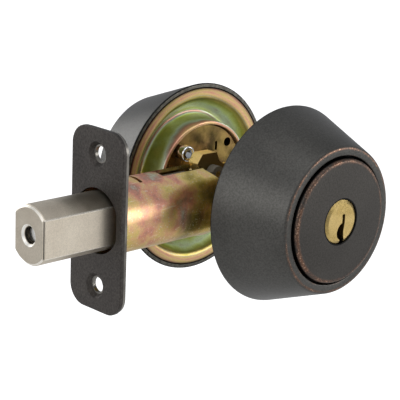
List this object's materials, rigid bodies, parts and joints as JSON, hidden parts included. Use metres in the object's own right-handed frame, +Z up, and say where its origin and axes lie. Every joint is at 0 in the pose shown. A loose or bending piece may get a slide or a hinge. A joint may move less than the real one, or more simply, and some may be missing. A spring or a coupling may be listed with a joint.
{
  "type": "tubular deadbolt lock",
  "caption": "Double-cylinder tubular deadbolt: tapered bronze collars with keyed brass plugs on both sides of a door, and a flat-sided bolt thrown through a faceplate.",
  "frame": {"origin": "where the bolt's axis meets the axis of the cross bore, in the middle of the door", "axes": "+X back from the door's edge, so that the bolt throws towards -X; -Y towards the exterior, +Y towards the interior; +Z up"},
  "size_m": [0.1176, 0.0906, 0.0638],
  "materials": {
    "bronze": "dark oil-rubbed bronze, satin, worn to copper at edges",
    "dichromate": "yellow zinc dichromate plate, iridescent",
    "zinc_plate": "clear zinc plate",
    "chrome": "bright",
    "spring_steel": "oiled spring steel",
    "brass": "turned and lightly polished",
    "steel": "hardened, ground",
    "dark_screw": "dark bronze heads",
    "nickel": "satin nickel",
    "black_steel": "black phosphated"
  },
  "bodies": {
    "root": {"faceplate": "bronze", "backplate": "zinc_plate", "bolt_housing": "dichromate", "housing_spacers": "dichromate", "crank_bushes": "brass", "detent_spring": "spring_steel", "mounting_screws": "dark_screw", "exterior_mounting_ring": "dichromate", "exterior_cylinder_body": "bronze", "exterior_retainer_plate": "dichromate", "exterior_retainer_screw": "chrome", "exterior_spring_washer": "spring_steel", "exterior_driver_pins": "brass", "exterior_pin_springs": "spring_steel", "exterior_spring_cover": "steel", "interior_mounting_ring": "dichromate", "interior_cylinder_body": "bronze", "interior_retainer_plate": "dichromate", "interior_retainer_screw": "chrome", "interior_spring_washer": "spring_steel", "interior_driver_pins": "brass", "interior_pin_springs": "spring_steel", "interior_spring_cover": "steel"},
    "deadbolt": {"bolt": "nickel", "drive_bar": "black_steel", "drive_pin": "steel", "bolt_rivet": "steel"},
    "roller_pin": {"bolt_roller_pin": "steel"},
    "crank_drive": {"crank": "dichromate", "exterior_tailpiece": "steel", "interior_tailpiece": "steel"},
    "exterior_key_plug": {"exterior_plug": "brass", "exterior_plug_cap": "brass", "exterior_key_pins": "brass"},
    "exterior_guard": {"exterior_collar": "bronze"},
    "interior_key_plug": {"interior_plug": "brass", "interior_plug_cap": "brass", "interior_key_pins": "brass"},
    "interior_guard": {"interior_collar": "bronze"}
  },
  "joints": [
    {"name": "exterior_key_turn", "type": "hinge", "parent": "root", "child": "exterior_key_plug", "pos_m": [0, -0.02, 0], "axis": [0, 1, 0], "range_deg": [0, 116]},
    {"name": "crank_turn", "type": "hinge", "parent": "root", "child": "crank_drive", "pos_m": [0, 0, 0], "axis": [0, 1, 0], "range_deg": [0, 116]},
    {"name": "bolt_throw", "type": "slide", "parent": "root", "child": "deadbolt", "axis": [1, 0, 0], "range_m": [0, 0.0254]},
    {"name": "interior_key_turn", "type": "hinge", "parent": "root", "child": "interior_key_plug", "pos_m": [0, 0.02, 0], "axis": [0, 1, 0], "range_deg": [0, 116]},
    {"name": "exterior_collar_spin", "type": "hinge", "parent": "root", "child": "exterior_guard", "pos_m": [0, -0.02, 0], "axis": [0, 1, 0], "continuous": true},
    {"name": "interior_collar_spin", "type": "hinge", "parent": "root", "child": "interior_guard", "pos_m": [0, 0.02, 0], "axis": [0, 1, 0], "continuous": true},
    {"name": "roller_pin_spin", "type": "hinge", "parent": "deadbolt", "child": "roller_pin", "pos_m": [-0.07, 0, 0], "axis": [1, 0, 0], "continuous": true}
  ],
  "couplings": [
    {"joint": "crank_turn", "follows": "bolt_throw", "rad_per_m": 79.708},
    {"joint": "exterior_key_turn", "follows": "bolt_throw", "rad_per_m": 79.708}
  ]
}
